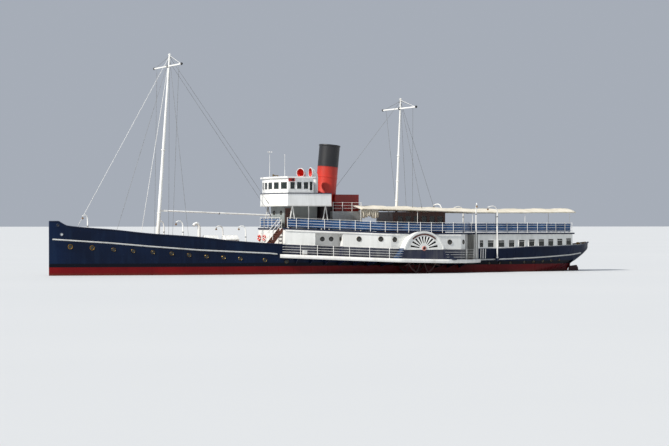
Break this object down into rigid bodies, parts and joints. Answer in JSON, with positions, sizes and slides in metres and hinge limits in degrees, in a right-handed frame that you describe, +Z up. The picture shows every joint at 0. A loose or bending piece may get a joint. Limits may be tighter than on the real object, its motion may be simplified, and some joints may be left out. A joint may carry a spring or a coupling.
{
  "type": "paddle steamer, 1:2 scale model",
  "caption": "Excursion paddle steamer with masts fore and aft, a raked funnel, slotted paddle boxes, bridge, wheelhouse, promenade deck and after awning.",
  "frame": {"origin": "on the light waterline, on the centreline, halfway along the ship", "axes": "+X forward to the stem, +Y to port, +Z up"},
  "size_m": [30.97, 7, 11.8281],
  "materials": {
    "hull_paint": "semi-gloss navy, red below the waterline",
    "upper_white": "semi-gloss white paint",
    "rail_white": "semi-gloss white paint",
    "house_grey": "semi-gloss grey paint",
    "funnel_red": "bright red with a black top",
    "casing_red": "dark red paint",
    "wheel_red": "red oxide paint",
    "machinery": "painted cast iron",
    "machinery_black": "matt black heat paint",
    "bare_steel": "turned steel",
    "deck_planks": "weathered deck planks",
    "dark_wood": "varnished dark wood",
    "dodger_blue": "blue canvas",
    "awning_canvas": "cream canvas"
  },
  "bodies": {
    "root": {"hull": "hull_paint", "fore_bulwark": "hull_paint", "aft_bulwark": "hull_paint", "engine": "machinery", "boiler": "machinery_black", "sponson_port": "hull_paint", "sponson_starboard": "hull_paint", "paddle_box_port": "upper_white", "paddle_box_starboard": "upper_white", "forward_house": "upper_white", "aft_house": "upper_white", "saloon": "upper_white", "promenade_deck": "deck_planks", "promenade_rail": "rail_white", "dodger_port": "dodger_blue", "dodger_starboard": "dodger_blue", "promenade_rail_front": "rail_white", "dodger_front": "dodger_blue", "fore_stairs": "dark_wood", "sponson_rail_fore_port": "rail_white", "sponson_rail_fore_starboard": "rail_white", "sponson_rail_aft_port": "rail_white", "sponson_rail_aft_starboard": "rail_white", "bridge_house": "house_grey", "saloon_entrance_house": "dark_wood", "funnel": "funnel_red", "casing": "casing_red", "bridge_deck": "deck_planks", "bridge_bulwark": "upper_white", "wheelhouse": "upper_white", "wheelhouse_roof": "upper_white", "helm_stand": "dark_wood", "cowl_vent_port": "upper_white", "cowl_vent_starboard": "upper_white", "mainmast": "rail_white", "foremast": "rail_white", "awning": "awning_canvas", "awning_frame": "rail_white", "windlass": "machinery", "capstan": "rail_white", "skylight_fore": "deck_planks", "skylight_aft": "deck_planks", "swan_neck_vent": "rail_white"},
    "paddle_wheels": {"paddle_shaft": "bare_steel", "paddle_wheel_port": "wheel_red", "paddle_wheel_starboard": "wheel_red"},
    "rudder": {"rudder": "hull_paint"},
    "helm": {"helm_wheel": "dark_wood"},
    "door_port": {"wheelhouse_door_port": "dark_wood"},
    "door_starboard": {"wheelhouse_door_starboard": "dark_wood"},
    "boom": {"fore_boom": "rail_white"},
    "davit_fore_1_port": {"davit_fore_1_port": "rail_white"},
    "davit_fore_1_starboard": {"davit_fore_1_starboard": "rail_white"},
    "davit_fore_2_port": {"davit_fore_2_port": "rail_white"},
    "davit_fore_2_starboard": {"davit_fore_2_starboard": "rail_white"},
    "davit_aft_1_port": {"davit_aft_1_port": "rail_white"},
    "davit_aft_1_starboard": {"davit_aft_1_starboard": "rail_white"},
    "davit_aft_2_port": {"davit_aft_2_port": "rail_white"},
    "davit_aft_2_starboard": {"davit_aft_2_starboard": "rail_white"},
    "anchor_davit": {"anchor_davit": "rail_white"}
  },
  "joints": [
    {"name": "paddle_spin", "type": "hinge", "parent": "root", "child": "paddle_wheels", "pos_m": [-3.595, 0, 0.825], "axis": [0, 1, 0], "continuous": true},
    {"name": "rudder_turn", "type": "hinge", "parent": "root", "child": "rudder", "pos_m": [-14.375, 0, 0], "axis": [0, 0, 1], "range_deg": [-35, 35]},
    {"name": "helm_turn", "type": "hinge", "parent": "root", "child": "helm", "pos_m": [2.95, 0, 4.025], "axis": [1, 0, 0], "range_deg": [-525, 525]},
    {"name": "door_port_swing", "type": "hinge", "parent": "root", "child": "door_port", "pos_m": [1.855, 1.475, 4], "axis": [0, 0, -1], "range_deg": [0, 95]},
    {"name": "door_starboard_swing", "type": "hinge", "parent": "root", "child": "door_starboard", "pos_m": [1.855, -1.475, 4], "axis": [0, 0, 1], "range_deg": [0, 95]},
    {"name": "boom_luff", "type": "hinge", "parent": "root", "child": "boom", "pos_m": [9.275, 0, 3.23], "axis": [0.0983, 0.9952, 0], "range_deg": [0, 60]},
    {"name": "davit_fore_1_port_swing", "type": "hinge", "parent": "root", "child": "davit_fore_1_port", "pos_m": [8.9, 1.375, 1], "axis": [0, 0, 1], "range_deg": [-90, 90]},
    {"name": "davit_fore_1_starboard_swing", "type": "hinge", "parent": "root", "child": "davit_fore_1_starboard", "pos_m": [8.9, -1.375, 1], "axis": [0, 0, -1], "range_deg": [-90, 90]},
    {"name": "davit_fore_2_port_swing", "type": "hinge", "parent": "root", "child": "davit_fore_2_port", "pos_m": [5.575, 1.55, 1], "axis": [0, 0, 1], "range_deg": [-90, 90]},
    {"name": "davit_fore_2_starboard_swing", "type": "hinge", "parent": "root", "child": "davit_fore_2_starboard", "pos_m": [5.575, -1.55, 1], "axis": [0, 0, -1], "range_deg": [-90, 90]},
    {"name": "davit_aft_1_port_swing", "type": "hinge", "parent": "root", "child": "davit_aft_1_port", "pos_m": [-7.465, 1.97, 1], "axis": [0, 0, 1], "range_deg": [-66, 84]},
    {"name": "davit_aft_1_starboard_swing", "type": "hinge", "parent": "root", "child": "davit_aft_1_starboard", "pos_m": [-7.465, -1.97, 1], "axis": [0, 0, -1], "range_deg": [-66, 84]},
    {"name": "davit_aft_2_port_swing", "type": "hinge", "parent": "root", "child": "davit_aft_2_port", "pos_m": [-8.775, 1.92, 1], "axis": [0, 0, 1], "range_deg": [0, 120]},
    {"name": "davit_aft_2_starboard_swing", "type": "hinge", "parent": "root", "child": "davit_aft_2_starboard", "pos_m": [-8.775, -1.92, 1], "axis": [0, 0, -1], "range_deg": [0, 120]},
    {"name": "anchor_davit_swing", "type": "hinge", "parent": "root", "child": "anchor_davit", "pos_m": [13.6, 0.45, 2], "axis": [0, 0, 1], "range_deg": [-90, 90]}
  ],
  "couplings": [
    {"joint": "helm_turn", "follows": "rudder_turn", "ratio": 15}
  ]
}
